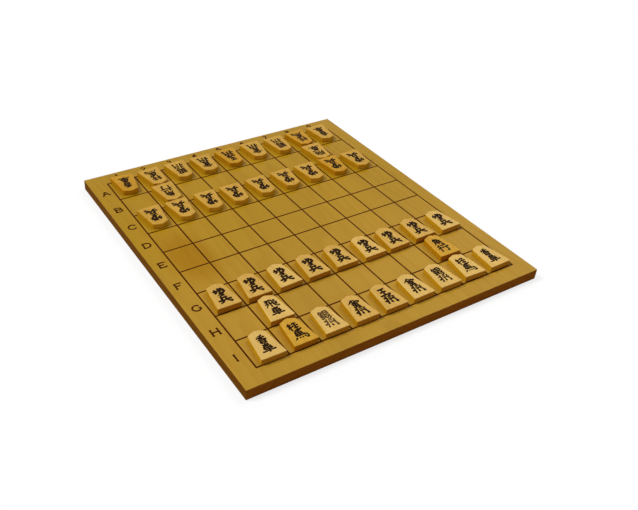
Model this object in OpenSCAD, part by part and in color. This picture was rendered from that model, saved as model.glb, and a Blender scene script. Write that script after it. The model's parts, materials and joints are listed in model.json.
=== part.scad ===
// Shogi board with its forty pieces set up for play.
// The origin is the centre of the board's underside. +X is to the near player's right,
// +Y is towards the far player, and +Z is up. All sizes are in millimetres.

/* [Squares] */
// Free width of a square beside the piece that stands in it
spare_w = 6.6; // [3:0.1:15]
// Free length of a square beyond the piece that stands in it
spare_l = 1.2; // [0.8:0.1:12]
// Width of the groove that holds a grid line
line_w = 1.5; // [0.5:0.1:2]
// Depth of the groove that holds a grid line
line_depth = 0.3; // [0.1:0.1:1]
// Diameter of the four dots where the third lines in from the edges cross
dot_d = 2.6; // [1.2:0.1:5]

/* [Board] */
// Thickness of the slab
board_t = 10.5; // [6:0.5:30]
// Wood to the left of the grid, where the rank letters stand
margin_left = 18.4; // [10:0.1:40]
// Wood to the right of the grid
margin_right = 15; // [10:0.1:40]
// Wood on the near player's side of the grid
margin_near = 16.5; // [10:0.1:40]
// Wood on the far player's side of the grid, where the file numbers stand
margin_far = 17.4; // [10:0.1:40]
// Width of the small bevel along the slab's long edges
edge_bevel = 0.6; // [0.2:0.1:2]

/* [Pieces] */
// Width of a piece at its base
piece_w = 23.1; // [18:0.1:32]
// Length of a piece, from its base to its point
piece_l = 31.5; // [24:0.1:40]
// Length of the pointed end, from the two shoulders to the point
point_l = 3; // [1:0.1:8]
// How far each long side draws in from the base to its shoulder
side_draw = 3.7; // [0:0.1:5]
// Thickness of a piece at its base
base_t = 5.6; // [4:0.1:12]
// How much thinner the point is than the base
thinning = 0.4; // [0:0.1:3]

/* [Hidden] */
$fn = 48;

// Squares each way. The files are numbered from the near player's left, and the ranks are
// lettered from the far side, so the list of ranks starts with the near player's last letter.
COUNT = 9;
FILES = ["1", "2", "3", "4", "5", "6", "7", "8", "9"];
RANKS = ["i", "h", "g", "f", "e", "d", "c", "b", "a"];

square_w = piece_w + spare_w;
square_l = piece_l + spare_l;
grid_w = COUNT * square_w;
grid_l = COUNT * square_l;
board_w = margin_left + grid_w + margin_right;
board_l = margin_near + grid_l + margin_far;
grid_left = margin_left - board_w / 2;
grid_near = margin_near - board_l / 2;

shoulder_l = piece_l - point_l;
shoulder_w = piece_w - 2 * side_draw;
point_t = base_t - thinning;

// The flat back of a piece lies on the board, so its middle plane leans by half the wedge's angle
half_wedge = atan(thinning / 2 / piece_l);

// The grid lines, counted from the near left corner, whose crossings carry a dot
DOT_LINES = [3, 6];

// A cut runs this far past the face that it opens
PAST = 1;

NEAR = "near";
FAR = "far";
ALL_COLUMNS = [for (k = [0:COUNT - 1]) k];
PAWNS = [for (k = ALL_COLUMNS) "pawn"];
BACK_ROW = ["lance", "knight", "silver", "gold", "king", "gold", "silver", "knight", "lance"];

// The rows of pieces as they were set down by hand. Each row holds its rank and the way it faces,
// the columns that it fills, from the left, and the kinds that stand there. Then it holds how far
// each piece lies to the right, in shares of spare_w, how far forward of the line behind it, in
// shares of spare_l, and how far it is turned, in degrees.
ROWS = [
    [0, NEAR, ALL_COLUMNS, BACK_ROW,
        [0.1, 0.15, 0.1, 0.15, 0.2, 0.15, 0.2, 0.05, 0.1],
        [-0.3, 0.1, 0, -0.3, -0.2, -0.2, -0.1, 0.4, 0.4],
        [-1, 0, 0, 0, 0, 1, -1, -2, 1]],
    [1, NEAR, [1, 7], ["rook", "bishop"],
        [-0.05, 0.15], [0, 0.8],
        [-1, -1]],
    [2, NEAR, ALL_COLUMNS, PAWNS,
        [-0.1, -0.15, -0.05, -0.15, -0.15, 0, -0.25, -0.05, 0.1],
        [0.5, 0.4, 0.2, -0.1, 0, -0.4, -0.4, 0.6, -0.1],
        [-1, -1, 2, 1, 0, 1, 1, 1, 1]],
    [6, FAR, ALL_COLUMNS, PAWNS,
        [0, -0.2, 0.05, -0.15, -0.15, -0.05, -0.15, -0.05, -0.2],
        [-0.4, -0.1, -0.6, -0.1, -0.6, -0.5, -0.4, -0.4, -0.1],
        [1, 2, -1, -1, 2, 0, 0, 0, 2]],
    [7, FAR, [1, 7], ["bishop", "rook"],
        [-0.05, -0.05], [0, 0.3],
        [2, 1]],
    [8, FAR, ALL_COLUMNS, BACK_ROW,
        [0.1, -0.15, -0.1, -0.15, -0.15, 0.2, 0.1, -0.1, -0.15],
        [-1, -0.3, -0.6, 0, -0.3, -1.2, 0.1, -1, -0.8],
        [-3, 4, 2, 1, 2, -1, 2, 3, 0]]
];

// A piece is its name, its column and rank, the way it faces, its shift, its advance and its turn
PIECES = [
    for (row = ROWS)
        for (k = [0:len(row[2]) - 1])
            let (column = row[2][k], rank = row[0])
                [str(row[3][k], "_", FILES[column], RANKS[rank]), column, rank, row[1],
                    row[4][k] * spare_w, row[5][k] * spare_l, row[6][k]]
];

// The slab's cross-section, with a bevel at each corner
module slab_section(width) {
    flat = width / 2 - edge_bevel;
    top = board_t - edge_bevel;
    polygon([
        [-width / 2, edge_bevel], [-flat, 0], [flat, 0], [width / 2, edge_bevel],
        [width / 2, top], [flat, board_t], [-flat, board_t], [-width / 2, top]
    ]);
}

// The slab without its grid, bevelled along all four sides
module slab() {
    intersection() {
        translate([0, board_l / 2, 0])
            rotate([90, 0, 0])
                linear_extrude(board_l) slab_section(board_w);
        translate([-board_w / 2, 0, 0])
            rotate([90, 0, 90])
                linear_extrude(board_w) slab_section(board_l);
    }
}

// The grooves of the grid lines, both ways
module grid_grooves() {
    for (k = [0:COUNT]) {
        translate([grid_left + k * square_w - line_w / 2, grid_near - line_w / 2, board_t - line_depth])
            cube([line_w, grid_l + line_w, line_depth + PAST]);
        translate([grid_left - line_w / 2, grid_near + k * square_l - line_w / 2, board_t - line_depth])
            cube([grid_w + line_w, line_w, line_depth + PAST]);
    }
}

// The shallow round pockets of the four dots
module dot_pockets() {
    for (column = DOT_LINES, rank = DOT_LINES)
        translate([grid_left + column * square_w, grid_near + rank * square_l, board_t - line_depth])
            cylinder(d = dot_d, h = line_depth + PAST);
}

module board() {
    color("darkgoldenrod")
        difference() {
            slab();
            grid_grooves();
            dot_pockets();
        }
}

// A piece's outline seen from above, with the middle of its base at the origin
module piece_outline() {
    polygon([
        [-piece_w / 2, 0], [piece_w / 2, 0],
        [shoulder_w / 2, shoulder_l], [0, piece_l], [-shoulder_w / 2, shoulder_l]
    ]);
}

// A piece's outline seen from its side, thick at the base and thin at the point
module wedge_outline() {
    polygon([[0, -base_t / 2], [piece_l, -point_t / 2], [piece_l, point_t / 2], [0, base_t / 2]]);
}

// A piece by itself, lying on its flat back with the middle of its base at the origin
module wedge() {
    translate([0, 0, base_t / 2 * cos(half_wedge)])
        rotate([-half_wedge, 0, 0])
            intersection() {
                translate([0, 0, -base_t])
                    linear_extrude(2 * base_t) piece_outline();
                translate([-piece_w, 0, 0])
                    rotate([90, 0, 90])
                        linear_extrude(2 * piece_w) wedge_outline();
            }
}

// A piece on its square, turned about the middle of its base
module set_piece(piece) {
    near_line = grid_near + piece[2] * square_l;
    base_y = piece[3] == NEAR ? near_line + piece[5] : near_line + square_l - piece[5];
    color("burlywood")
        translate([grid_left + (piece[1] + 0.5) * square_w + piece[4], base_y, board_t])
            rotate([0, 0, piece[6] + (piece[3] == NEAR ? 0 : 180)])
                wedge();
}

board();
for (piece = PIECES)
    set_piece(piece);
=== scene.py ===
"""Looks of a shogi board with its forty pieces set up for play.

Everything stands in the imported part's own frame, in metres. The origin is the middle of the
board's underside, +X is to the near player's right, +Y towards the far player, and +Z up.
"""

import json
import logging
import math
import random
from collections.abc import Callable
from dataclasses import dataclass, field, replace
from enum import Enum

import bpy
from mathutils import Matrix, Vector


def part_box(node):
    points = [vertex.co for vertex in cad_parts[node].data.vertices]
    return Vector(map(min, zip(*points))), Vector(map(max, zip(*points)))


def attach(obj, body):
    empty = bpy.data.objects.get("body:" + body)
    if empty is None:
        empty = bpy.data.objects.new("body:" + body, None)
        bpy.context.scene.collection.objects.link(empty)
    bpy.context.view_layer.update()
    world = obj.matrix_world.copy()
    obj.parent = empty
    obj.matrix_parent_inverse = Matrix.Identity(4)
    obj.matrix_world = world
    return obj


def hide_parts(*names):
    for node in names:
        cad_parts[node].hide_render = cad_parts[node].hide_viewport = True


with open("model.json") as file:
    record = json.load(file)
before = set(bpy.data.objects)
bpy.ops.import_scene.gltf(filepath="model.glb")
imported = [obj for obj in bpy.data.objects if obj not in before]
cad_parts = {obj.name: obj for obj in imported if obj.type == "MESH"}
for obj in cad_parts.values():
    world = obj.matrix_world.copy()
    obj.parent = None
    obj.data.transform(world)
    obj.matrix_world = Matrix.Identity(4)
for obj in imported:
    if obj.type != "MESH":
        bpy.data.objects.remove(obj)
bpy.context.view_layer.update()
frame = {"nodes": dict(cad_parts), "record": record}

LOG = logging.getLogger("shogi_board")
MM = 0.001
PHOTO_WIDTH_PX = 638
# Squares each way, and the ranks of the near player's pieces
COUNT = 9
NEAR_RANKS = "ghi"
# A face looks up when its normal rises by more than this
FACING_UP = 0.99
# Points whose heights differ by less than this lie in one plane
NEARLY = 0.01 * MM
# Faces across a rounded edge
ROUND_STEPS = 4
# Edges that bend less than the first are shaded smooth, and a wedge's edges above the second are rounded
SMOOTH_BELOW = math.radians(40)
ROUND_ABOVE = math.radians(50)
# How much the large faces rule the shading, where 50 is as much as the small ones
FLAT_WEIGHT = 90
# Steps from one point of a curved stroke to the next, and along a part of an ellipse
STROKE_STEPS = 5
ARC_STEPS = 6
# Half the width of a letter's foot, in hundredths of the letter's width
SERIF_REACH = 13
# The attributes that hold a point's place in the tree, and its place in its own piece
GRAIN = "grain_place"
OWN = "own_place"
# Where the far end's painted shade sets in along the board, and the tip's tone and painted light along a
# piece
FAR_SHADE_SPAN = (-110 * MM, 60 * MM)
POINTED_END = (20 * MM, 27 * MM)
# How far a face turns to a side, or upwards, before it takes that side's tint of tone and painted shade, and
# takes it whole
SIDEWAYS = (0.35, 0.9)
UPWARDS = (0.5, 0.9)

Colour = tuple[float, float, float, float]
Point = tuple[float, float]
Place = tuple[float, float, float]
Socket = bpy.types.NodeSocket


def srgb(red: int, green: int, blue: int) -> Colour:
    """Turns a colour as a screen shows it, from 0 to 255, into a linear one.

    Args:
        red: The red share.
        green: The green share.
        blue: The blue share.

    Returns:
        The linear colour, with an alpha of 1.
    """
    def linear(value: float) -> float:
        """Gives one channel's linear value."""
        return value / 12.92 if value <= 0.04045 else ((value + 0.055) / 1.055) ** 2.4

    return (linear(red / 255), linear(green / 255), linear(blue / 255), 1.0)


WHITE = srgb(255, 255, 255)


class Kind(Enum):
    """The eight kinds of piece, named as the part's nodes name them."""

    PAWN = "pawn"
    LANCE = "lance"
    KNIGHT = "knight"
    SILVER = "silver"
    GOLD = "gold"
    BISHOP = "bishop"
    ROOK = "rook"
    KING = "king"


class Touch(Enum):
    """How a brush presses along a stroke, as pairs of the share of its length and of its width.

    A bar is firm at both ends, a sweep leaves the wood in a fine tail, a press starts fine and swells
    near its end, a dot is short and swells, a hook ends in a flick, and a pen keeps one width.
    """

    BAR = ((0, 0.55), (0.08, 1.05), (0.2, 0.9), (0.5, 0.8), (0.8, 0.9), (0.93, 1.1), (1, 0.5))
    SWEEP = ((0, 0.5), (0.1, 1.1), (0.3, 1.0), (0.6, 0.8), (0.85, 0.42), (1, 0.08))
    PRESS = ((0, 0.25), (0.2, 0.55), (0.5, 0.85), (0.82, 1.3), (0.92, 0.8), (1, 0.1))
    DOT = ((0, 0.3), (0.3, 0.8), (0.7, 1.15), (0.9, 1.0), (1, 0.45))
    HOOK = ((0, 0.5), (0.08, 1.05), (0.3, 0.9), (0.65, 0.85), (0.84, 1.05), (1, 0.1))
    PEN = ((0, 1.0), (1, 1.0))

    def __call__(self, *points: Point) -> "Stroke":
        """Makes a stroke with this touch through some points."""
        return Stroke(self, points)


class Side(Enum):
    """The way that a piece faces, as the sign of its point along +Y."""

    NEAR = 1
    FAR = -1


class Part(Enum):
    """The parts of a mesh that are selected, as Blender names them."""

    EDGES = "EDGE"
    FACES = "FACE"


@dataclass(frozen=True)
class Stroke:
    """One brush stroke of a character, in hundredths of the character's width and height."""

    touch: Touch
    points: tuple[Point, ...]

    def at(self, share: float) -> Point:
        """Gives the place on the stroke's smooth path.

        Args:
            share: The share of the path that has been drawn, from 0 to 1.

        Returns:
            The point there.
        """
        last = len(self.points) - 1
        step = min(int(share * last), last - 1)
        t = share * last - step
        before, start, end, after = (self.points[min(max(step + k, 0), last)] for k in (-1, 0, 1, 2))
        if last == 1:
            return tuple(a + (b - a) * t for a, b in zip(start, end))
        place = []
        for a, b, c, d in zip(before, start, end, after):
            bend = 2 * a - 5 * b + 4 * c - d
            twist = 3 * b - a - 3 * c + d
            place.append(0.5 * (2 * b + (c - a) * t + bend * t ** 2 + twist * t ** 3))
        return tuple(place)

    def width(self, share: float) -> float:
        """Gives the brush's width as a share of its full width.

        Args:
            share: The share of the path that has been drawn, from 0 to 1.

        Returns:
            The width there, between the touch's own pairs.
        """
        for (start, wide), (end, next_wide) in zip(self.touch.value, self.touch.value[1:]):
            if share <= end:
                return wide + (next_wide - wide) * (share - start) / (end - start)
        return self.touch.value[-1][1]

    def shares(self) -> list[float]:
        """Gives the shares of the path at which it is worked out."""
        steps = STROKE_STEPS * (len(self.points) - 1) if len(self.points) > 2 else 1
        return sorted({k / steps for k in range(steps + 1)} | {share for share, _ in self.touch.value})


# A stroke is written as its touch and its points, such as bar((0, 50), (100, 50))
bar, sweep, press, dot, hook, pen = Touch


def round_line(centre: Point, radii: Point, start: float, end: float) -> Stroke:
    """Makes a line of one width along an ellipse, from one angle to another, in degrees from the right."""
    angles = [math.radians(start + (end - start) * k / ARC_STEPS) for k in range(ARC_STEPS + 1)]
    return pen(*((centre[0] + radii[0] * math.cos(a), centre[1] + radii[1] * math.sin(a)) for a in angles))


# The traditional characters of the pieces, named for what each one means
CHARACTERS: dict[str, tuple[Stroke, ...]] = {
    "walk": (
        bar((52, 98), (52, 63)), bar((53, 81), (84, 84)), bar((24, 88), (25, 63)), bar((4, 60), (96, 64)),
        hook((52, 57), (53, 34), (50, 26), (38, 31)), sweep((31, 53), (22, 40), (7, 29)),
        dot((71, 53), (84, 46), (94, 34)), sweep((80, 37), (62, 17), (42, 7), (14, 1)),
    ),
    "soldier": (
        sweep((74, 99), (54, 93), (30, 89)), bar((32, 90), (31, 38)), bar((33, 66), (78, 69)),
        bar((62, 67), (62, 38)), bar((1, 33), (99, 38)), sweep((40, 30), (30, 14), (8, 0)),
        press((56, 30), (74, 14), (94, 1)),
    ),
    "incense": (
        sweep((80, 98), (56, 91), (18, 87)), bar((5, 71), (95, 75)), bar((50, 91), (50, 46)),
        sweep((48, 71), (32, 54), (3, 41)), press((52, 71), (70, 54), (98, 41)), bar((24, 38), (25, 2)),
        bar((24, 38), (77, 40)), bar((77, 40), (76, 2)), bar((26, 21), (75, 22)), bar((26, 4), (75, 5)),
    ),
    "chariot": (
        bar((13, 84), (87, 88)), bar((20, 70), (21, 35)), bar((20, 70), (80, 72)), bar((80, 72), (79, 35)),
        bar((22, 53), (78, 54)), bar((22, 36), (78, 38)), bar((3, 18), (97, 22)), bar((50, 99), (50, 0)),
    ),
    "laurel": (
        bar((2, 72), (40, 76)), bar((21, 98), (21, 1)), sweep((20, 71), (14, 48), (0, 27)),
        dot((24, 62), (38, 42)), bar((44, 81), (90, 84)), bar((67, 97), (67, 58)), bar((40, 55), (97, 59)),
        bar((45, 31), (90, 34)), bar((67, 50), (67, 8)), bar((36, 4), (99, 8)),
    ),
    "horse": (
        bar((19, 93), (19, 38)), bar((19, 92), (87, 95)), bar((21, 74), (82, 76)), bar((21, 56), (82, 58)),
        bar((51, 92), (51, 40)), bar((19, 39), (92, 42)), hook((92, 42), (92, 20), (86, 3), (70, 9)),
        sweep((17, 29), (13, 15), (4, 3)), dot((34, 27), (38, 9)), dot((51, 27), (57, 11)),
        dot((68, 29), (77, 16)),
    ),
    "silver": (
        sweep((25, 98), (15, 80), (0, 65)), dot((28, 92), (46, 75)), bar((12, 66), (39, 68)),
        bar((5, 50), (43, 53)), bar((24, 67), (24, 11)), dot((9, 40), (15, 22)), dot((41, 42), (34, 25)),
        bar((3, 5), (45, 15)), bar((53, 93), (52, 8)), bar((53, 92), (91, 94)), bar((91, 94), (89, 51)),
        bar((54, 72), (89, 74)), bar((54, 51), (89, 53)), sweep((52, 7), (62, 9), (75, 18)),
        sweep((96, 42), (84, 30), (74, 26)), press((66, 51), (76, 24), (99, 3)),
    ),
    "general": (
        dot((8, 84), (20, 68)), sweep((4, 34), (14, 42), (27, 54)), bar((29, 98), (27, 48), (20, 2)),
        sweep((84, 98), (66, 90), (42, 86)), dot((46, 78), (52, 66)), dot((62, 80), (66, 68)),
        sweep((90, 82), (84, 72), (76, 64)), bar((40, 52), (90, 56)),
        hook((77, 64), (80, 34), (84, 6), (70, 12)), press((50, 46), (50, 26), (46, 8)),
    ),
    "gold": (
        sweep((51, 99), (34, 78), (0, 56)), press((50, 96), (68, 76), (100, 55)), bar((32, 63), (68, 66)),
        bar((20, 42), (80, 46)), bar((50, 65), (50, 7)), dot((28, 33), (37, 16)), dot((73, 35), (63, 17)),
        bar((16, 3), (84, 8)),
    ),
    "king": (bar((14, 87), (86, 91)), bar((21, 49), (79, 53)), bar((50, 89), (50, 9)), bar((4, 7), (96, 12))),
    "jewel": (
        bar((14, 87), (86, 91)), bar((21, 51), (79, 55)), bar((50, 89), (50, 9)), bar((4, 7), (96, 12)),
        dot((65, 39), (83, 23)),
    ),
    "flying": (
        bar((10, 90), (66, 93)), hook((66, 93), (70, 66), (84, 51), (95, 51), (97, 64)),
        sweep((93, 89), (85, 79), (74, 74)), dot((77, 79), (95, 70)), sweep((39, 82), (26, 75), (5, 70)),
        sweep((23, 75), (22, 38), (2, 3)), bar((46, 83), (46, 1)), bar((2, 48), (68, 51)),
        hook((68, 51), (72, 22), (86, 3), (96, 4), (98, 18)), sweep((94, 45), (86, 35), (75, 30)),
        dot((78, 36), (95, 27)),
    ),
    "corner": (
        sweep((38, 99), (26, 80), (5, 65)), bar((30, 84), (68, 87)), sweep((68, 87), (64, 78), (56, 72)),
        sweep((22, 71), (22, 36), (4, 2)), bar((22, 71), (86, 73)),
        hook((86, 73), (87, 34), (84, 3), (70, 9)), bar((24, 52), (85, 54)), bar((23, 32), (85, 34)),
        bar((54, 71), (54, 5)),
    ),
    "go": (
        sweep((31, 98), (19, 82), (3, 71)), sweep((34, 75), (19, 55), (0, 42)), bar((22, 57), (22, 1)),
        bar((42, 85), (91, 88)), bar((36, 57), (99, 61)), hook((73, 58), (74, 28), (71, 3), (56, 11)),
    ),
    "apricot": (
        bar((5, 78), (95, 82)), bar((50, 98), (50, 44)), sweep((48, 77), (30, 58), (2, 43)),
        press((52, 77), (70, 58), (98, 43)), bar((20, 36), (21, 2)), bar((20, 36), (81, 38)),
        bar((81, 38), (80, 2)), bar((22, 5), (79, 7)),
    ),
    "mound": (
        bar((16, 81), (84, 85)), bar((50, 98), (50, 56)), bar((8, 55), (92, 59)), bar((13, 31), (87, 34)),
        bar((50, 50), (50, 7)), bar((4, 4), (96, 8)),
    ),
    "all": (
        sweep((51, 99), (34, 78), (2, 57)), press((50, 96), (68, 76), (98, 56)), bar((22, 59), (79, 61)),
        bar((22, 33), (79, 36)), bar((50, 60), (50, 7)), bar((6, 4), (94, 8)),
    ),
    "dragon": (
        bar((50, 99), (50, 87)), bar((12, 84), (88, 87)), dot((30, 80), (37, 67)), sweep((72, 81), (63, 66)),
        bar((4, 63), (96, 66)), bar((16, 55), (17, 19)), bar((16, 55), (84, 58)), bar((84, 58), (83, 20)),
        bar((18, 39), (82, 41)), bar((18, 21), (82, 23)),
        hook((50, 64), (50, 14), (60, 2), (92, 2), (97, 19)),
    ),
    "promoted_pawn": (
        dot((26, 94), (32, 76), (42, 60)), sweep((84, 84), (40, 58), (16, 27), (38, 6), (88, 9)),
    ),
}


def serif(x: float, y: float) -> Stroke:
    """Makes the short foot that ends a letter's stem."""
    return pen((x - SERIF_REACH, y), (x + SERIF_REACH, y))


def stem(x: float) -> tuple[Stroke, ...]:
    """Makes a letter's upright stem with a foot at each end."""
    return (pen((x, 0), (x, 100)), serif(x, 0), serif(x, 100))


# The plain letters and digits of the board's coordinates
LETTERS: tuple[tuple[Stroke, ...], ...] = (
    (pen((8, 0), (50, 100)), pen((50, 100), (92, 0)), pen((22, 34), (78, 34)), serif(8, 0), serif(92, 0)),
    (
        *stem(14), pen((14, 100), (55, 100)), round_line((55, 77), (32, 23), 90, -90),
        pen((14, 54), (58, 54)), round_line((58, 27), (36, 27), 90, -90), pen((14, 0), (58, 0)),
    ),
    (round_line((54, 50), (50, 50), 36, 324), pen((94, 72), (94, 98))),
    (*stem(12), pen((12, 100), (45, 100)), round_line((45, 50), (52, 50), 90, -90), pen((12, 0), (45, 0))),
    (
        *stem(14), pen((14, 100), (90, 100)), pen((14, 53), (72, 53)), pen((14, 0), (92, 0)),
        pen((90, 100), (90, 84)), pen((92, 0), (92, 16)),
    ),
    (*stem(14), pen((14, 100), (90, 100)), pen((14, 53), (72, 53)), pen((90, 100), (90, 84))),
    (round_line((54, 50), (50, 50), 38, 322), pen((93, 10), (93, 44)), pen((74, 44), (106, 44))),
    (*stem(10), *stem(90), pen((10, 52), (90, 52))),
    stem(50),
)
DIGITS: tuple[tuple[Stroke, ...], ...] = (
    (pen((30, 80), (54, 100)), pen((54, 100), (54, 0))),
    (round_line((50, 73), (36, 27), 165, -35), pen((80, 58), (14, 0)), pen((14, 0), (88, 0))),
    (round_line((48, 76), (34, 24), 150, -90), round_line((48, 26), (38, 26), 90, -150)),
    (pen((68, 0), (68, 100)), pen((68, 100), (10, 30)), pen((10, 30), (92, 30))),
    (pen((82, 100), (24, 100)), pen((24, 100), (18, 56)), round_line((47, 32), (40, 32), 128, -145)),
    (round_line((50, 31), (37, 31), 0, 360), pen((13, 34), (24, 76), (74, 98))),
    (pen((12, 100), (88, 100)), pen((88, 100), (40, 0))),
    (round_line((50, 76), (31, 24), 0, 360), round_line((50, 26), (38, 26), 0, 360)),
    (round_line((50, 69), (37, 31), 0, 360), pen((87, 66), (76, 24), (26, 2))),
)


@dataclass(frozen=True)
class Mark:
    """The characters on one face of a piece, from the point down, and how they are brushed.

    A character's spread is its width at its top and at its foot, as shares of its box.
    """

    characters: tuple[str, ...]
    brush_mm: float
    spreads: tuple[Point, Point] = ((1.0, 1.0), (1.0, 1.0))


MARKS: dict[Kind, Mark] = {
    Kind.PAWN: Mark(("walk", "soldier"), 2.4, ((1.0, 0.95), (0.8, 1.05))),
    Kind.LANCE: Mark(("incense", "chariot"), 1.75, ((0.7, 0.75), (0.5, 1.1))),
    Kind.KNIGHT: Mark(("laurel", "horse"), 1.75, ((0.85, 0.85), (0.6, 1.1))),
    Kind.SILVER: Mark(("silver", "general"), 1.8, ((0.82, 0.82), (0.8, 1.05))),
    Kind.GOLD: Mark(("gold", "general"), 2.1, ((1.05, 0.8), (0.75, 1.1))),
    Kind.BISHOP: Mark(("corner", "go"), 1.9, ((0.65, 0.85), (0.85, 1.1))),
    Kind.ROOK: Mark(("flying", "chariot"), 1.75, ((0.9, 1.0), (0.55, 1.1))),
    Kind.KING: Mark(("king", "general"), 2.3, ((0.75, 1.0), (0.8, 1.1))),
}
FAR_KING = replace(MARKS[Kind.KING], characters=("jewel", "general"))
PROMOTED_MARKS: dict[Kind, Mark] = {
    Kind.PAWN: Mark(("promoted_pawn",), 2.2),
    Kind.LANCE: Mark(("apricot",), 2.0),
    Kind.KNIGHT: Mark(("mound",), 2.0),
    Kind.SILVER: Mark(("all",), 2.0),
    Kind.BISHOP: Mark(("dragon", "horse"), 1.5),
    Kind.ROOK: Mark(("dragon", "king"), 1.5),
}


@dataclass(frozen=True)
class Glyph:
    """One character where it is drawn: its strokes, its middle, its box, and its spread."""

    strokes: tuple[Stroke, ...]
    middle: Vector
    size: Point
    spread: Point = (1.0, 1.0)

    def place(self, x: float, y: float) -> Vector:
        """Gives where a point of the character falls.

        Args:
            x: How far it lies from the left, in hundredths of the box.
            y: How far it lies from the foot, in hundredths of the box.

        Returns:
            The place on the drawing plane.
        """
        top, foot = self.spread
        wide = foot + (top - foot) * y / 100
        across = (x / 100 - 0.5) * wide * self.size[0]
        return self.middle + Vector((across, (y / 100 - 0.5) * self.size[1], 0))


class Graph:
    """The node tree of a material or of the world, with short ways to add and join its nodes."""

    def __init__(self, owner: bpy.types.Material | bpy.types.World) -> None:
        """Starts an empty tree.

        Args:
            owner: The material or the world.
        """
        owner.use_nodes = True
        self.owner = owner
        self.tree = owner.node_tree
        self.tree.nodes.clear()

    def add(self, kind: str, sockets: dict | None = None, **settings: object) -> bpy.types.Node:
        """Adds a node.

        Args:
            kind: The node's type.
            sockets: What each input takes, a value or another node's output.
            settings: The node's own settings.

        Returns:
            The node.
        """
        node = self.tree.nodes.new(kind)
        for name, value in settings.items():
            setattr(node, name, value)
        for key, value in (sockets or {}).items():
            if isinstance(value, Socket):
                self.tree.links.new(value, node.inputs[key])
            else:
                node.inputs[key].default_value = value
        return node

    def attribute(self, name: str) -> Socket:
        """Reads a place that the mesh stores for each of its points."""
        return self.add("ShaderNodeAttribute", attribute_name=name).outputs["Vector"]

    def axes(self, vector: Socket) -> list[Socket]:
        """Splits a vector into its X, Y and Z."""
        return list(self.add("ShaderNodeSeparateXYZ", {0: vector}).outputs)

    def sum(self, operation: str, *values: object) -> Socket:
        """Works out one sum, such as MULTIPLY, of its values."""
        return self.add("ShaderNodeMath", dict(enumerate(values)), operation=operation).outputs[0]

    def sway(self, base: object, noise: Socket, reach: float) -> Socket:
        """Adds to a base what a noise strays from its middle, so many times over."""
        return self.sum("MULTIPLY_ADD", self.sum("SUBTRACT", noise, 0.5), reach, base)

    def step(self, value: Socket, low: float, high: float) -> Socket:
        """Gives 0 below low and 1 above high, and passes smoothly between them."""
        sockets = {"Value": value, "From Min": low, "From Max": high}
        return self.add("ShaderNodeMapRange", sockets, interpolation_type="SMOOTHSTEP").outputs["Result"]

    def stretch(self, vector: Socket, sizes_mm: Place) -> Socket:
        """Scales a place so that one unit is so many millimetres along each axis."""
        scale = tuple(1 / (size * MM) for size in sizes_mm)
        return self.add("ShaderNodeMapping", {"Vector": vector, "Scale": scale}).outputs[0]

    def noise(self, vector: Socket, detail: float = 2.0) -> Socket:
        """Gives cloudy noise with one unit to a cloud."""
        sockets = {"Vector": vector, "Scale": 1.0, "Detail": detail, "Roughness": 0.55}
        return self.add("ShaderNodeTexNoise", sockets).outputs["Fac"]

    def mix(self, share: object, first: object, second: object, blend: str = "MIX") -> Socket:
        """Mixes two colours in Blender's named way, with so large a share of the second."""
        sockets = {0: share, 6: first, 7: second}
        return self.add("ShaderNodeMix", sockets, data_type="RGBA", blend_type=blend).outputs[2]

    def surface(self, **sockets: object) -> bpy.types.Material:
        """Ends the tree in one surface shader and gives the material.

        Args:
            sockets: The shader's inputs, with a low line for each space in a name.

        Returns:
            The material.
        """
        named = {name.replace("_", " "): value for name, value in sockets.items()}
        shader = self.add("ShaderNodeBsdfPrincipled", named)
        self.add("ShaderNodeOutputMaterial", {"Surface": shader.outputs[0]})
        return self.owner


@dataclass(frozen=True)
class Patch:
    """A warmer patch in a board's wood, longer along the grain, with a ragged edge.

    Its tint is whole out to the core's share of its reaches.
    """

    middle: Place
    reaches_mm: Place
    tint: Colour
    core: float = 0.3
    ragged: float = 0.7

    def share(self, graph: Graph, place: Socket, cloud: Socket) -> Socket:
        """Gives how much of the patch's tint a point takes.

        Args:
            graph: The material's tree.
            place: The point's place.
            cloud: The cloudy noise that makes the edge ragged.

        Returns:
            The share, from 0 to 1.
        """
        ends = {0: place, 1: self.middle}
        centred = graph.add("ShaderNodeVectorMath", ends, operation="SUBTRACT").outputs[0]
        shares = {0: graph.stretch(centred, self.reaches_mm)}
        away = graph.add("ShaderNodeVectorMath", shares, operation="LENGTH").outputs["Value"]
        return graph.step(graph.sway(away, cloud, self.ragged), 1.0, self.core)


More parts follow.
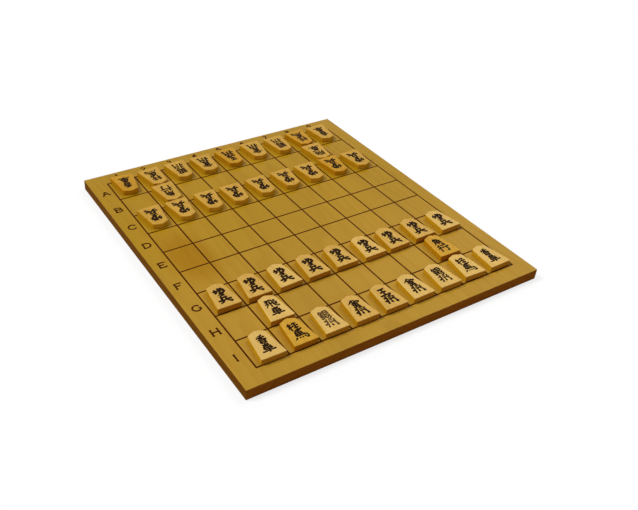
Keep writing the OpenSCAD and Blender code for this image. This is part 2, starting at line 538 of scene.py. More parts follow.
@dataclass(frozen=True)
class WoodFinish:
    """A lacquered wood whose grain runs along the Y axis of its own grain place.

    The tints multiply the colour of the long sides and the ends, as their grain's tone and painted shade,
    of the pointed end, as its grain's tone and painted light, and of the far end's top, as painted shade.
    The late wood darkens and ends over two shares of a year, and the flecks show where their noise is
    high. The shades say how much the fibres and the clouds lighten and darken the wood.
    """

    name: str
    face: Colour
    late_wood: Colour
    ring_mm: float
    ring_strength: float
    fibre_mm: float
    fibre_length_mm: float
    cloud_mm: float
    heart_depth_mm: float
    roughness: float
    specular: float
    flank_grain_and_shade: Colour = WHITE
    end_grain_and_shade: Colour = WHITE
    tip_grain_and_light: Colour = WHITE
    far_painted_shade: Colour = WHITE
    patch: Patch | None = None
    late_starts: Point = (0.25, 0.9)
    late_ends: Point = (0.93, 1.0)
    ring_wander: float = 7.0
    fleck_levels: Point = (0.62, 0.74)
    fleck_strength: float = 0.22
    fibre_shade: float = 0.28
    cloud_shade: float = 0.22
    fibre_roughness: float = 0.14
    end_roughness: float = 0.15
    late_relief: float = 0.5
    relief_mm: float = 0.02

    def rings(self, graph: Graph, place: Socket) -> Socket:
        """Draws the year rings round a heart that lies below the cut.

        Args:
            graph: The material's tree.
            place: The grain place.

        Returns:
            How dark the late wood is, from 0 to 1.
        """
        breadth = self.cloud_mm
        wander = graph.noise(graph.stretch(place, (breadth, 5 * breadth, breadth)), detail=1.5)
        aside, _, above = graph.axes(place)
        depth = graph.sum("ADD", above, self.heart_depth_mm * MM)
        squares = [graph.sum("POWER", side, 2.0) for side in (aside, depth)]
        radius = graph.sum("SQRT", graph.sum("ADD", *squares))
        wander = graph.sum("MULTIPLY", wander, self.ring_wander)
        year = graph.sum("FRACT", graph.sum("MULTIPLY_ADD", radius, 1 / (self.ring_mm * MM), wander))
        return graph.sum("SUBTRACT", graph.step(year, *self.late_starts), graph.step(year, *self.late_ends))

    def tones_and_shades(self, graph: Graph, facing: list[Socket], cloud: Socket) -> list[tuple[Socket, object]]:
        """Gives the tints that multiply the wood's colour, each with its share, painted shade and light among
        them.

        Args:
            graph: The material's tree.
            facing: How far a face turns to a long side, to an end, and upwards, from 0 to 1.
            cloud: The cloudy noise that makes the patch's edge ragged.

        Returns:
            The shares and their tints.
        """
        flank, end, upward = facing
        place = graph.add("ShaderNodeTexCoord").outputs["Object"]
        tip = graph.step(graph.axes(graph.attribute(OWN))[1], *POINTED_END)
        # The ends take their grain's tone with painted shade, and the pointed end takes painted light
        end_grain_and_shade = graph.mix(tip, self.end_grain_and_shade, self.tip_grain_and_light)
        # The far end's upward faces take painted shade, darker and more saturated towards the far end
        far = graph.sum("MULTIPLY", graph.step(graph.axes(place)[1], *FAR_SHADE_SPAN), upward)
        tones_and_shades = [(flank, self.flank_grain_and_shade), (end, end_grain_and_shade), (far, self.far_painted_shade)]
        if self.patch:
            tones_and_shades.append((self.patch.share(graph, place, cloud), self.patch.tint))
        return tones_and_shades

    def material(self) -> bpy.types.Material:
        """Makes the wood's material.

        Returns:
            The material.
        """
        graph = Graph(bpy.data.materials.new(self.name))
        place = graph.attribute(GRAIN)
        width, length, breadth = self.fibre_mm, self.fibre_length_mm, self.cloud_mm
        fibre = graph.noise(graph.stretch(place, (width, length, width)), detail=3.0)
        fleck = graph.noise(graph.stretch(place, (2 * width, 0.4 * length, 2 * width)), detail=1.0)
        fleck = graph.step(fleck, *self.fleck_levels)
        cloud = graph.noise(graph.stretch(place, (breadth, 4 * breadth, breadth)))
        late = graph.sum("MULTIPLY", self.rings(graph, place), self.ring_strength)

        colour = graph.mix(late, self.face, self.late_wood)
        colour = graph.mix(graph.sum("MULTIPLY", fleck, self.fleck_strength), colour, self.late_wood)
        shade = graph.sway(1.0, fibre, self.fibre_shade)
        shade = graph.sway(shade, cloud, self.cloud_shade)
        shading = graph.add("ShaderNodeCombineColor", {0: shade, 1: shade, 2: shade}).outputs[0]
        colour = graph.mix(1.0, colour, shading, "MULTIPLY")

        normal = graph.axes(graph.add("ShaderNodeTexCoord").outputs["Normal"])
        spans = (SIDEWAYS, SIDEWAYS, UPWARDS)
        facing = [graph.step(graph.sum("ABSOLUTE", turn), *span) for turn, span in zip(normal, spans)]
        # Multiplies in the painted shade and light of the sides, ends and far end, and the patch's own tone
        for share, tint in self.tones_and_shades(graph, facing, cloud):
            colour = graph.mix(1.0, colour, graph.mix(share, WHITE, tint), "MULTIPLY")

        least = self.roughness - self.fibre_roughness / 2
        rough = graph.sum("MULTIPLY_ADD", fibre, self.fibre_roughness, least)
        rough = graph.sum("MULTIPLY_ADD", facing[1], self.end_roughness, rough)
        relief = graph.sum("SUBTRACT", fibre, graph.sum("MULTIPLY", late, self.late_relief))
        heights = {"Height": relief, "Strength": 0.5, "Distance": self.relief_mm * MM}
        bump = graph.add("ShaderNodeBump", heights).outputs[0]
        return graph.surface(
            Base_Color=colour, Roughness=rough, Specular_IOR_Level=self.specular, Normal=bump,
        )


@dataclass(frozen=True)
class InkFinish:
    """A dark ink that has worn thin, in patches and along streaks.

    The levels are those of the noise at which wear starts and is whole.
    """

    name: str
    fresh: Colour
    worn: Colour
    wear: float
    patch_mm: Place = (1.6, 1.6, 1.6)
    patch_levels: Point = (0.5, 0.72)
    streak_mm: Place = (0.2, 2.2, 0.2)
    streak_levels: Point = (0.52, 0.7)
    streak_strength: float = 0.6
    roughness: float = 0.42
    worn_roughness: float = 0.2
    specular: float = 0.02

    def material(self) -> bpy.types.Material:
        """Makes the ink's material.

        Returns:
            The material.
        """
        graph = Graph(bpy.data.materials.new(self.name))
        place = graph.add("ShaderNodeTexCoord").outputs["Object"]
        patches = graph.noise(graph.stretch(place, self.patch_mm), detail=3.0)
        patches = graph.step(patches, *self.patch_levels)
        streaks = graph.step(graph.noise(graph.stretch(place, self.streak_mm)), *self.streak_levels)
        thin = graph.sum("MAXIMUM", patches, graph.sum("MULTIPLY", streaks, self.streak_strength))
        colour = graph.mix(graph.sum("MULTIPLY", thin, self.wear), self.fresh, self.worn)
        rough = graph.sum("MULTIPLY_ADD", thin, self.worn_roughness, self.roughness)
        return graph.surface(Base_Color=colour, Roughness=rough, Specular_IOR_Level=self.specular)


# The board's top takes painted shade towards its far end, and a warmer patch of its own wood
BOARD_WOOD = WoodFinish(
    name="board_wood", face=srgb(178, 137, 46), late_wood=srgb(161, 115, 26), far_painted_shade=srgb(245, 243, 150),
    ring_mm=7.0, ring_strength=0.2, fibre_mm=0.5, fibre_length_mm=30.0, cloud_mm=45.0,
    heart_depth_mm=160.0, roughness=0.2, specular=0.07,
    patch=Patch(middle=(-114 * MM, 1 * MM, 10.5 * MM), reaches_mm=(30, 66, 30), tint=srgb(238, 223, 80)),
)
# The sides' tints by facing are partly the edge's own colour and partly painted shade
BOARD_SIDE = replace(
    BOARD_WOOD, name="board_side", face=srgb(164, 116, 38), late_wood=srgb(138, 88, 24),
    flank_grain_and_shade=srgb(186, 166, 96), end_grain_and_shade=srgb(240, 196, 170), tip_grain_and_light=srgb(240, 196, 170),
    far_painted_shade=WHITE, patch=None, ring_strength=0.35, roughness=0.6, specular=0.01,
)
# The pieces' long sides and ends take their grain's tone with painted shade, the pointed end painted light,
# and the far tops painted shade
PALE_WOOD = WoodFinish(
    name="pale_wood", face=srgb(216, 178, 100), late_wood=srgb(196, 148, 66),
    flank_grain_and_shade=srgb(238, 220, 72), end_grain_and_shade=srgb(218, 184, 98), tip_grain_and_light=srgb(255, 236, 108),
    far_painted_shade=srgb(243, 236, 200),
    ring_mm=2.6, ring_strength=0.3, fibre_mm=0.3, fibre_length_mm=9.0, cloud_mm=14.0,
    heart_depth_mm=40.0, roughness=0.36, specular=0.06,
)
HONEY_WOOD = replace(
    PALE_WOOD, name="honey_wood", face=srgb(208, 167, 86), late_wood=srgb(184, 134, 50),
    ring_mm=2.4, ring_strength=0.32, heart_depth_mm=36.0,
)
AMBER_WOOD = replace(
    PALE_WOOD, name="amber_wood", face=srgb(203, 156, 54), late_wood=srgb(180, 122, 32),
    ring_mm=2.2, ring_strength=0.35, heart_depth_mm=32.0,
)
MARK_INK = InkFinish(name="mark_ink", fresh=srgb(30, 16, 6), worn=srgb(92, 62, 24), wear=0.55)
FADED_INK = InkFinish(name="faded_ink", fresh=srgb(74, 52, 26), worn=srgb(160, 122, 66), wear=0.9)
LINE_INK = InkFinish(name="line_ink", fresh=srgb(68, 27, 0), worn=srgb(104, 60, 4), wear=0.5)
FADED_MARKS = ("silver_3i",)


def only(piece: bpy.types.Object) -> None:
    """Selects one object and nothing else, and makes it the active one.

    Args:
        piece: The object.
    """
    bpy.ops.object.select_all(action="DESELECT")
    piece.select_set(True)
    bpy.context.view_layer.objects.active = piece


def start_block(name: str, low: Vector, high: Vector) -> bpy.types.Object:
    """Adds a block between two corners and leaves it in edit mode.

    Args:
        name: The object's name.
        low: The lowest corner.
        high: The highest corner.

    Returns:
        The block.
    """
    bpy.ops.object.select_all(action="DESELECT")
    bpy.ops.mesh.primitive_cube_add(size=1)
    block = bpy.context.active_object
    block.name = name
    block.data.name = name
    bpy.ops.object.mode_set(mode="EDIT")
    bpy.ops.mesh.select_all(action="SELECT")
    bpy.ops.transform.resize(value=high - low)
    bpy.ops.transform.translate(value=(low + high) / 2)
    return block


def select_parts(block: bpy.types.Object, part: Part, wanted: Callable[..., bool]) -> None:
    """Selects the edges or faces of a block that is in edit mode, by their place.

    Args:
        block: The object.
        part: Whether edges or faces are selected.
        wanted: Says whether an edge, by its two ends, or a face, by its middle and normal, is taken.
    """
    bpy.ops.mesh.select_mode(type=part.value)
    bpy.ops.mesh.select_all(action="DESELECT")
    bpy.ops.object.mode_set(mode="OBJECT")
    mesh = block.data
    if part is Part.EDGES:
        for edge in mesh.edges:
            edge.select = wanted(*(mesh.vertices[v].co for v in edge.vertices))
    else:
        for face in mesh.polygons:
            face.select = wanted(face.center, face.normal)
    bpy.ops.object.mode_set(mode="EDIT")


def apply_modifier(piece: bpy.types.Object, kind: str, **settings: object) -> None:
    """Adds one modifier to a piece and applies it.

    Args:
        piece: The object.
        kind: The modifier's type.
        settings: The modifier's settings.
    """
    only(piece)
    modifier = piece.modifiers.new(kind.lower(), kind)
    for name, value in settings.items():
        setattr(modifier, name, value)
    bpy.ops.object.modifier_apply(modifier=modifier.name)


def smooth(piece: bpy.types.Object) -> None:
    """Shades a piece's rounded edges smooth and keeps its flat faces flat.

    Args:
        piece: The object.
    """
    only(piece)
    bpy.ops.object.shade_smooth_by_angle(angle=SMOOTH_BELOW)
    apply_modifier(piece, "WEIGHTED_NORMAL", keep_sharp=True, weight=FLAT_WEIGHT)


def lay_grain(mesh: bpy.types.Mesh, cut: Matrix) -> None:
    """Stores where each point of a mesh lies in its own piece, and in the tree that it was cut from.

    Args:
        mesh: The mesh, still in the frame in which its grain runs along Y.
        cut: Where in the tree that frame lies.
    """
    for name, move in ((OWN, Matrix.Identity(4)), (GRAIN, cut)):
        places = mesh.attributes.new(name, "FLOAT_VECTOR", "POINT")
        for vertex, place in zip(mesh.vertices, places.data):
            place.vector = move @ vertex.co


def dress(piece: bpy.types.Object, body: str, material: bpy.types.Material) -> None:
    """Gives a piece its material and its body.

    Args:
        piece: The object.
        body: The body that it rides on.
        material: The material.
    """
    piece.data.materials.clear()
    piece.data.materials.append(material)
    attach(piece, body)


@dataclass(frozen=True)
class Lettering:
    """Draws strokes as ridges of ink that stand a little proud of a flat face."""

    half_width: float
    height: float = 0.05 * MM

    def draw(self, name: str, glyphs: list[Glyph]) -> bpy.types.Object:
        """Draws characters on the plane z = 0.

        Args:
            name: The object's name.
            glyphs: The characters.

        Returns:
            The ink as one mesh.
        """
        curve = bpy.data.curves.new(name, "CURVE")
        curve.dimensions = "3D"
        curve.twist_mode = "Z_UP"
        curve.bevel_depth = self.half_width
        curve.bevel_resolution = 1
        curve.use_fill_caps = True
        for glyph in glyphs:
            for stroke in glyph.strokes:
                self.add_stroke(curve, stroke, glyph)
        piece = bpy.data.objects.new(name, curve)
        bpy.context.scene.collection.objects.link(piece)
        only(piece)
        bpy.ops.object.convert(target="MESH")
        piece = bpy.context.active_object
        piece.data.name = name
        piece.data.transform(Matrix.Diagonal((1, 1, self.height / self.half_width, 1)))
        return piece

    def add_stroke(self, curve: bpy.types.Curve, stroke: Stroke, glyph: Glyph) -> None:
        """Adds one stroke to the curve.

        Args:
            curve: The curve.
            stroke: The stroke.
            glyph: The character that it belongs to.
        """
        shares = stroke.shares()
        spline = curve.splines.new("POLY")
        spline.points.add(len(shares) - 1)
        for point, share in zip(spline.points, shares):
            point.co = (*glyph.place(*stroke.at(share)), 1)
            point.radius = stroke.width(share)


@dataclass
class Board:
    """The slab, the grid ruled into its top, the four dots, and the coordinates on its margins.

    The ink lies a drop below the top, and a dot is as high as its flatness times its radius. Letters
    and numbers are shifted to the right of their middles, and the numbers stand a share of the far
    margin beyond the grid. Faces whose normal rises more than lacquered have the top's gloss.
    """

    low: Vector
    high: Vector
    margin_left: float = 18.4 * MM
    margin_right: float = 15.0 * MM
    margin_near: float = 16.5 * MM
    margin_far: float = 17.4 * MM
    line_width: float = 1.5 * MM
    line_depth: float = 0.3 * MM
    ink_drop: float = 0.08 * MM
    dot_radius: float = 1.3 * MM
    dot_flatness: float = 0.08
    dot_steps: tuple[int, int] = (32, 12)
    edge_round: float = 0.4 * MM
    letter_size: Point = (7.6 * MM, 6.9 * MM)
    letter_half_width: float = 0.82 * MM
    letter_shift: float = 0.6 * MM
    number_size: Point = (5.4 * MM, 6.2 * MM)
    number_shift: float = -1.0 * MM
    number_share: float = 0.6
    dot_lines: tuple[int, int] = (3, 6)
    lacquered: float = 0.3
    lines_x: list[float] = field(init=False)
    lines_y: list[float] = field(init=False)

    def __post_init__(self) -> None:
        """Works out where the grid lines run."""
        left = self.low.x + self.margin_left
        near = self.low.y + self.margin_near
        square_width = (self.high.x - self.margin_right - left) / COUNT
        square_length = (self.high.y - self.margin_far - near) / COUNT
        self.lines_x = [left + k * square_width for k in range(COUNT + 1)]
        self.lines_y = [near + k * square_length for k in range(COUNT + 1)]

    def in_grid(self, middle: Vector) -> bool:
        """Says whether a point lies within the grid, its outer lines included.

        Args:
            middle: The point.

        Returns:
            Whether it does.
        """
        half = self.line_width / 2
        return (self.lines_x[0] - half < middle.x < self.lines_x[-1] + half
                and self.lines_y[0] - half < middle.y < self.lines_y[-1] + half)

    def in_line(self, middle: Vector) -> bool:
        """Says whether a point lies inside a grid line.

        Args:
            middle: The point.

        Returns:
            Whether it does.
        """
        half = self.line_width / 2
        return self.in_grid(middle) and (any(abs(middle.x - x) < half for x in self.lines_x)
                                         or any(abs(middle.y - y) < half for y in self.lines_y))

    def rule_lines(self, slab: bpy.types.Object, places: list[float], normal: Vector) -> None:
        """Cuts the slab's top along both edges of each of some parallel lines.

        Args:
            slab: The slab, in edit mode.
            places: The lines' places along the normal.
            normal: The direction across the lines.
        """
        edges = [place + side * self.line_width / 2 for place in places for side in (-1, 1)]
        outer_first = [edges[0], edges[-1], *edges[1:-1]]
        for count, edge in enumerate(outer_first):
            inner = count > 1

            def on_top(middle: Vector, facing: Vector, inner: bool = inner) -> bool:
                """Says whether a face is part of the top, and within the outer cuts once they are made."""
                between = edges[0] < middle.dot(normal) < edges[-1]
                return facing.z > FACING_UP and middle.z > self.high.z - NEARLY and (between or not inner)

            select_parts(slab, Part.FACES, on_top)
            bpy.ops.mesh.bisect(plane_co=normal * edge, plane_no=normal)

    def build_slab(self) -> tuple[bpy.types.Object, bpy.types.Object]:
        """Models the slab with its sunk grid, and the ink that fills the grid.

        Returns:
            The slab and the ink.
        """
        slab = start_block("board_slab", self.low, self.high)
        bpy.ops.mesh.bevel(offset=self.edge_round, segments=ROUND_STEPS, affect="EDGES")
        self.rule_lines(slab, self.lines_x, Vector((1, 0, 0)))
        self.rule_lines(slab, self.lines_y, Vector((0, 1, 0)))
        select_parts(slab, Part.FACES, lambda middle, facing: facing.z > FACING_UP and self.in_line(middle))
        bpy.ops.mesh.extrude_region_move(TRANSFORM_OT_translate={"value": (0, 0, -self.line_depth)})
        bpy.ops.mesh.duplicate()
        bpy.ops.mesh.separate(type="SELECTED")
        bpy.ops.object.mode_set(mode="OBJECT")
        ink = next(o for o in bpy.context.selected_objects if o != slab)
        ink.name = "grid_lines"
        ink.data.name = "grid_lines"
        apply_modifier(ink, "SOLIDIFY", thickness=self.line_depth - self.ink_drop, offset=1)
        smooth(slab)
        return slab, ink

    def build_dots(self) -> bpy.types.Object:
        """Models the four low domes of ink where the third lines cross.

        Returns:
            The dots as one object.
        """
        around, up = self.dot_steps
        bpy.ops.object.select_all(action="DESELECT")
        bpy.ops.mesh.primitive_uv_sphere_add(segments=around, ring_count=up, radius=self.dot_radius)
        dots = bpy.context.active_object
        dots.name = "grid_dots"
        dots.data.name = "grid_dots"
        dots.data.transform(Matrix.Diagonal((1, 1, self.dot_flatness, 1)))
        columns, ranks = ([lines[k] for k in self.dot_lines] for lines in (self.lines_x, self.lines_y))
        bpy.ops.object.mode_set(mode="EDIT")
        bpy.ops.mesh.select_all(action="SELECT")
        bpy.ops.transform.translate(value=(columns[0], ranks[0], self.high.z))
        bpy.ops.mesh.duplicate_move(TRANSFORM_OT_translate={"value": (columns[1] - columns[0], 0, 0)})
        bpy.ops.mesh.select_all(action="SELECT")
        bpy.ops.mesh.duplicate_move(TRANSFORM_OT_translate={"value": (0, ranks[1] - ranks[0], 0)})
        bpy.ops.object.mode_set(mode="OBJECT")
        bpy.ops.object.shade_smooth()
        return dots

    def build_coordinates(self) -> list[bpy.types.Object]:
        """Draws the coordinates on the margins.

        Returns:
            The letters along the left margin and the numbers along the far one.
        """
        pen_work = Lettering(self.letter_half_width)
        left = (self.low.x + self.lines_x[0]) / 2 + self.letter_shift
        far = self.lines_y[-1] + self.number_share * self.margin_far
        ranks = [(a + b) / 2 for a, b in zip(self.lines_y, self.lines_y[1:])]
        files = [(a + b) / 2 + self.number_shift for a, b in zip(self.lines_x, self.lines_x[1:])]
        rows = [
            ("rank_letters", LETTERS, [Vector((left, y, 0)) for y in reversed(ranks)], self.letter_size),
            ("file_numbers", DIGITS, [Vector((x, far, 0)) for x in files], self.number_size),
        ]
        made = []
        for name, signs, middles, size in rows:
            piece = pen_work.draw(name, [Glyph(sign, middle, size) for sign, middle in zip(signs, middles)])
            piece.data.transform(Matrix.Translation((0, 0, self.high.z)))
            made.append(piece)
        return made

    def build(self) -> list[bpy.types.Object]:
        """Builds and dresses the board.

        Returns:
            The slab and all its ink.
        """
        slab, grid = self.build_slab()
        lay_grain(slab.data, Matrix.Identity(4))
        dress(slab, "board", BOARD_WOOD.material())
        slab.data.materials.append(BOARD_SIDE.material())
        for face in slab.data.polygons:
            face.material_index = int(face.normal.z < self.lacquered)
        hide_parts("board")
        ink = LINE_INK.material()
        inked = [grid, self.build_dots(), *self.build_coordinates()]
        for piece in inked:
            dress(piece, "board", ink)
        return [slab, *inked]


@dataclass(frozen=True)
class Seat:
    """Where a piece stands: the middle of its base on the board, and the turn of its point from +Y."""

    base: Vector
    turn: float
    side: Side

    @classmethod
    def of(cls, node: bpy.types.Object) -> "Seat":
        """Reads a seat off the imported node's own corners.

        Args:
            node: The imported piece.

        Returns:
            The seat.
        """
        side = Side.NEAR if node.name[-1] in NEAR_RANKS else Side.FAR
        floor = min(v.co.z for v in node.data.vertices)
        outline = {tuple(round(c, 6) for c in v.co) for v in node.data.vertices if v.co.z < floor + NEARLY}
        ordered = sorted((Vector(corner) for corner in outline), key=lambda corner: side.value * corner.y)
        left, right = sorted(ordered[:2], key=lambda corner: side.value * corner.x)
        across = right - left
        return cls((left + right) / 2, math.atan2(across.y, across.x), side)

    def matrix(self) -> Matrix:
        """Gives the move from the piece's own frame to the board."""
        return Matrix.Translation(self.base) @ Matrix.Rotation(self.turn, 4, "Z")


@dataclass
class Pieces:
    """The forty wedge-shaped pieces and the marks on their faces.

    The middles and sizes of the characters are measured from the middle of a piece's base. The tree's
    reach and turn bound the places that the pieces are cut from. Corners nearer to a saw's cut than its
    slack lie on it.
    """

    nodes: dict[str, bpy.types.Object]
    slots: dict[str, str]
    width: float = 23.1 * MM
    length: float = 31.5 * MM
    point_length: float = 3.0 * MM
    side_draw: float = 3.7 * MM
    base_thickness: float = 5.6 * MM
    thinning: float = 0.4 * MM
    corner_round: float = 1.2 * MM
    edge_round: float = 0.6 * MM
    saw_slack: float = 0.001 * MM
    upper_middle: float = 20.1 * MM
    lower_middle: float = 10.0 * MM
    upper_size: Point = (12.1 * MM, 9.7 * MM)
    lower_size: Point = (13.4 * MM, 10.3 * MM)
    single_size: Point = (13.0 * MM, 15.0 * MM)
    tree_reach_mm: Place = (20, 300, 12)
    tree_turn: float = 1.2
    seed: int = 9

    @property
    def lean(self) -> float:
        """The angle between a face and the piece's middle plane."""
        return math.atan(self.thinning / 2 / self.length)

    def settle(self) -> Matrix:
        """Gives the move that lays a wedge, made about its middle plane, on its flat back.

        Returns:
            The move.
        """
        lift = Matrix.Translation((0, 0, self.base_thickness / 2 * math.cos(self.lean)))
        back = Matrix.Translation((0, self.base_thickness / 2 * math.sin(self.lean), 0))
        return back @ lift @ Matrix.Rotation(-self.lean, 4, "X")

    def on_face(self, under: bool) -> Matrix:
        """Gives the move from a drawing plane to a wedge's front or back, before the wedge is laid down."""
        face = Matrix.Translation((0, 0, self.base_thickness / 2)) @ Matrix.Rotation(-self.lean, 4, "X")
        return Matrix.Rotation(math.pi, 4, "Y") @ face if under else face

    def saw(self, place: Place, normal: Place) -> None:
        """Saws off what lies beyond a plane and closes the cut.

        Args:
            place: A point of the plane.
            normal: The way to what is sawn off.
        """
        plane = {"plane_co": place, "plane_no": Vector(normal).normalized()}
        bpy.ops.mesh.select_all(action="SELECT")
        bpy.ops.mesh.bisect(**plane, threshold=self.saw_slack, use_fill=True, clear_outer=True)

    def build_wedge(self) -> bpy.types.Object:
        """Saws and rounds one wedge.

        Returns:
            The wedge, which all the pieces are copied from.
        """
        half = self.width / 2
        depth = self.base_thickness / 2
        wedge = start_block("wedge", Vector((-half, 0, -depth)), Vector((half, self.length, depth)))
        shoulder = self.length - self.point_length
        shoulder_half = half - self.side_draw
        slope = math.sin(self.lean)
        for side in (-1, 1):
            self.saw((0, 0, side * depth), (0, slope, side * math.cos(self.lean)))
            self.saw((side * half, 0, 0), (side * shoulder, self.side_draw, 0))
            self.saw((0, self.length, 0), (side * self.point_length, shoulder_half, 0))

        def upright(start: Vector, end: Vector) -> bool:
            """Says whether an edge goes from the back straight up to the front."""
            return abs(start.z - end.z) > depth and (start.xy - end.xy).length < depth / 10

        select_parts(wedge, Part.EDGES, upright)
        bpy.ops.mesh.bevel(offset=self.corner_round, segments=ROUND_STEPS, affect="EDGES")
        bpy.ops.object.mode_set(mode="OBJECT")
        sharp = {"limit_method": "ANGLE", "angle_limit": ROUND_ABOVE}
        apply_modifier(wedge, "BEVEL", width=self.edge_round, segments=ROUND_STEPS, **sharp)
        smooth(wedge)
        return wedge

    def build_mark(self, mark: Mark) -> bpy.types.Object:
        """Draws a piece's mark on the plane z = 0, with the middle of the base at the origin.

        Args:
            mark: The mark.

        Returns:
            The ink.
        """
        boxes = [(self.upper_middle, self.upper_size), (self.lower_middle, self.lower_size)]
        if len(mark.characters) == 1:
            boxes = [((self.upper_middle + self.lower_middle) / 2, self.single_size)]
        glyphs = [
            Glyph(CHARACTERS[name], Vector((0, y, 0)), size, spread)
            for name, (y, size), spread in zip(mark.characters, boxes, mark.spreads)
        ]
        return Lettering(mark.brush_mm / 2 * MM).draw("_".join(mark.characters), glyphs)

    def copy(self, model: bpy.types.Object, name: str, move: Matrix) -> bpy.types.Object:
        """Copies a model, with a mesh of its own, and moves the mesh to its place.

        Args:
            model: The model.
            name: The copy's name.
            move: The move from the model's frame to the board's.

        Returns:
            The copy.
        """
        mesh = model.data.copy()
        mesh.name = name
        mesh.transform(move)
        piece = bpy.data.objects.new(name, mesh)
        bpy.context.scene.collection.objects.link(piece)
        return piece

    def cut_from_tree(self, chance: random.Random) -> Matrix:
        """Picks the place in the tree that a piece was cut from.

        Args:
            chance: The random draws.

        Returns:
            The move from the piece to the tree.
        """
        place = Vector([chance.uniform(-reach, reach) for reach in self.tree_reach_mm]) * MM
        turn = chance.uniform(-self.tree_turn, self.tree_turn)
        return Matrix.Translation(place) @ Matrix.Rotation(turn, 4, "Y")

    def build(self) -> list[bpy.types.Object]:
        """Builds, marks and dresses all the pieces.

        Returns:
            Their wood and their marks.
        """
        woods = {finish.name: finish.material() for finish in (PALE_WOOD, HONEY_WOOD, AMBER_WOOD)}
        fresh, faded = MARK_INK.material(), FADED_INK.material()
        wedge = self.build_wedge()
        every_mark = (*MARKS.values(), FAR_KING, *PROMOTED_MARKS.values())
        marks = {mark: self.build_mark(mark) for mark in every_mark}
        chance = random.Random(self.seed)
        made = []
        for name, node in self.nodes.items():
            kind = Kind(name.split("_")[0])
            seat = Seat.of(node)
            place = seat.matrix() @ self.settle()
            wood = self.copy(wedge, f"{name}_wood", Matrix.Identity(4))
            lay_grain(wood.data, self.cut_from_tree(chance))
            wood.data.transform(place)
            dress(wood, name, woods[self.slots[name]])
            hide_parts(name)
            made.append(wood)

            front = FAR_KING if kind is Kind.KING and seat.side is Side.FAR else MARKS[kind]
            mark = self.copy(marks[front], f"{name}_mark", place @ self.on_face(under=False))
            dress(mark, name, faded if name in FADED_MARKS else fresh)
            made.append(mark)
            if kind in PROMOTED_MARKS:
                back = marks[PROMOTED_MARKS[kind]]
                promoted = self.copy(back, f"{name}_promoted_mark", place @ self.on_face(under=True))
                dress(promoted, name, fresh)
                made.append(promoted)
        for model in (wedge, *marks.values()):
            bpy.data.objects.remove(model)
        return made


@dataclass(frozen=True)
class Lamp:
    """A broad lamp far from the object."""

    name: str
    toward: Place
    strength: float
    breadth: float

    def build(self) -> None:
        """Hangs the lamp."""
        light = bpy.data.lights.new(self.name, "SUN")
        light.energy = self.strength
        light.angle = self.breadth
        lamp = bpy.data.objects.new(self.name, light)
        lamp.rotation_euler = Vector(self.toward).to_track_quat("Z", "Y").to_euler()
        bpy.context.scene.collection.objects.link(lamp)


# The lamp on the left gives most of the light, and the other two soften its shadows
LAMPS = (
    Lamp("left_lamp", toward=(-0.7, 0.4, 1.0), strength=2.15, breadth=math.radians(24)),
    Lamp("right_lamp", toward=(0.72, 0.25, 1.0), strength=0.7, breadth=math.radians(24)),
    Lamp("front_fill", toward=(-0.3, -1.0, 0.5), strength=0.18, breadth=math.radians(60)),
)


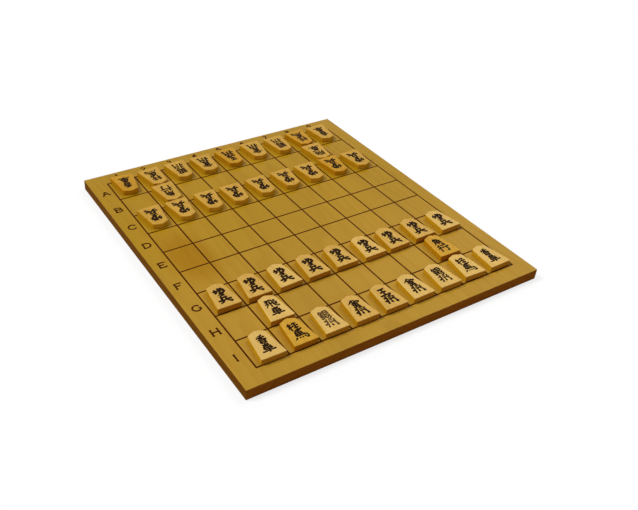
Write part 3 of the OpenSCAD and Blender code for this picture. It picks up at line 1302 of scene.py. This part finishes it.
@dataclass
class Studio:
    """The floor, the lights and the camera.

    The sky and the floor's bounce are their levels on the object. The glow is the share of plain
    white in the floor that the camera sees, and the rest of it takes the object's shadow.
    """

    floor_size: float = 8.0
    sky: float = 0.28
    floor_bounce: float = 0.35
    floor_glow: float = 0.75
    camera_place: Vector = field(default_factory=lambda: Vector((-352.2, -493.15, 423.85)) * MM)
    camera_aim: Vector = field(default_factory=lambda: Vector((-55.75, -29.2, 10.5)) * MM)
    camera_roll: float = math.radians(2.61)
    lens: float = 43.34
    lens_middle_px: float = 262.2
    clip: tuple[float, float] = (0.01, 50.0)

    def shown_white(self, graph: Graph) -> Socket:
        """Tells the rays that show the background: the camera's, mirrored and refracted ones.

        Args:
            graph: The tree of the floor or of the world.

        Returns:
            1 for such a ray, and 0 for the others.
        """
        rays = graph.add("ShaderNodeLightPath").outputs
        mirrored = graph.sum("MAXIMUM", rays["Is Glossy Ray"], rays["Is Transmission Ray"])
        return graph.sum("MAXIMUM", rays["Is Camera Ray"], mirrored)

    def build_floor(self) -> None:
        """Lays a floor that shows white and keeps the object's shadow."""
        bpy.ops.object.select_all(action="DESELECT")
        bpy.ops.mesh.primitive_plane_add(size=self.floor_size)
        floor = bpy.context.active_object
        floor.name = "floor"
        graph = Graph(bpy.data.materials.new("floor"))
        shown = self.shown_white(graph)
        dim = (self.floor_bounce,) * 3 + (1.0,)
        shader = graph.add("ShaderNodeBsdfDiffuse", {"Color": graph.mix(shown, dim, WHITE)})
        glow = graph.add("ShaderNodeEmission", {"Color": WHITE})
        share = graph.sum("MULTIPLY", shown, self.floor_glow)
        both = graph.add("ShaderNodeMixShader", {0: share, 1: shader.outputs[0], 2: glow.outputs[0]})
        graph.add("ShaderNodeOutputMaterial", {"Surface": both.outputs[0]})
        floor.data.materials.append(graph.owner)

    def build_lights(self) -> None:
        """Hangs the lamps under an even sky, which shows white behind the object."""
        for lamp in LAMPS:
            lamp.build()
        world = bpy.data.worlds.new("studio")
        bpy.context.scene.world = world
        graph = Graph(world)
        level = graph.add("ShaderNodeMapRange", {"Value": self.shown_white(graph), "To Min": self.sky})
        sky = graph.add("ShaderNodeBackground", {"Color": WHITE, "Strength": level.outputs["Result"]})
        graph.add("ShaderNodeOutputWorld", {"Surface": sky.outputs[0]})

    def build_camera(self) -> None:
        """Sets up the camera as the photograph was taken."""
        camera = bpy.data.cameras.new("camera")
        camera.lens = self.lens
        camera.shift_x = 0.5 - self.lens_middle_px / PHOTO_WIDTH_PX
        camera.clip_start, camera.clip_end = self.clip
        eye = bpy.data.objects.new("camera", camera)
        back = (self.camera_place - self.camera_aim).normalized()
        level = back.to_track_quat("Z", "Y").to_matrix().to_4x4()
        roll = Matrix.Rotation(self.camera_roll, 4, "Z")
        eye.matrix_world = Matrix.Translation(self.camera_place) @ level @ roll
        bpy.context.scene.collection.objects.link(eye)
        bpy.context.scene.camera = eye

    def build(self) -> None:
        """Builds the studio."""
        bpy.context.scene.view_settings.view_transform = "Standard"
        self.build_camera()
        self.build_lights()
        self.build_floor()


def main() -> None:
    """Builds the studio, the board and the pieces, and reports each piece."""
    logging.basicConfig(level=logging.INFO, format="%(message)s")
    slots = {row["node"]: row["material_slot"] for row in frame["record"]["subparts"]}
    loose = {name: node for name, node in frame["nodes"].items() if name != "board"}
    Studio().build()
    for part in (Board(*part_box("board")), Pieces(loose, slots)):
        for piece in part.build():
            LOG.info("%s: %d faces", piece.name, len(piece.data.polygons))


if __name__ == "__main__":
    main()
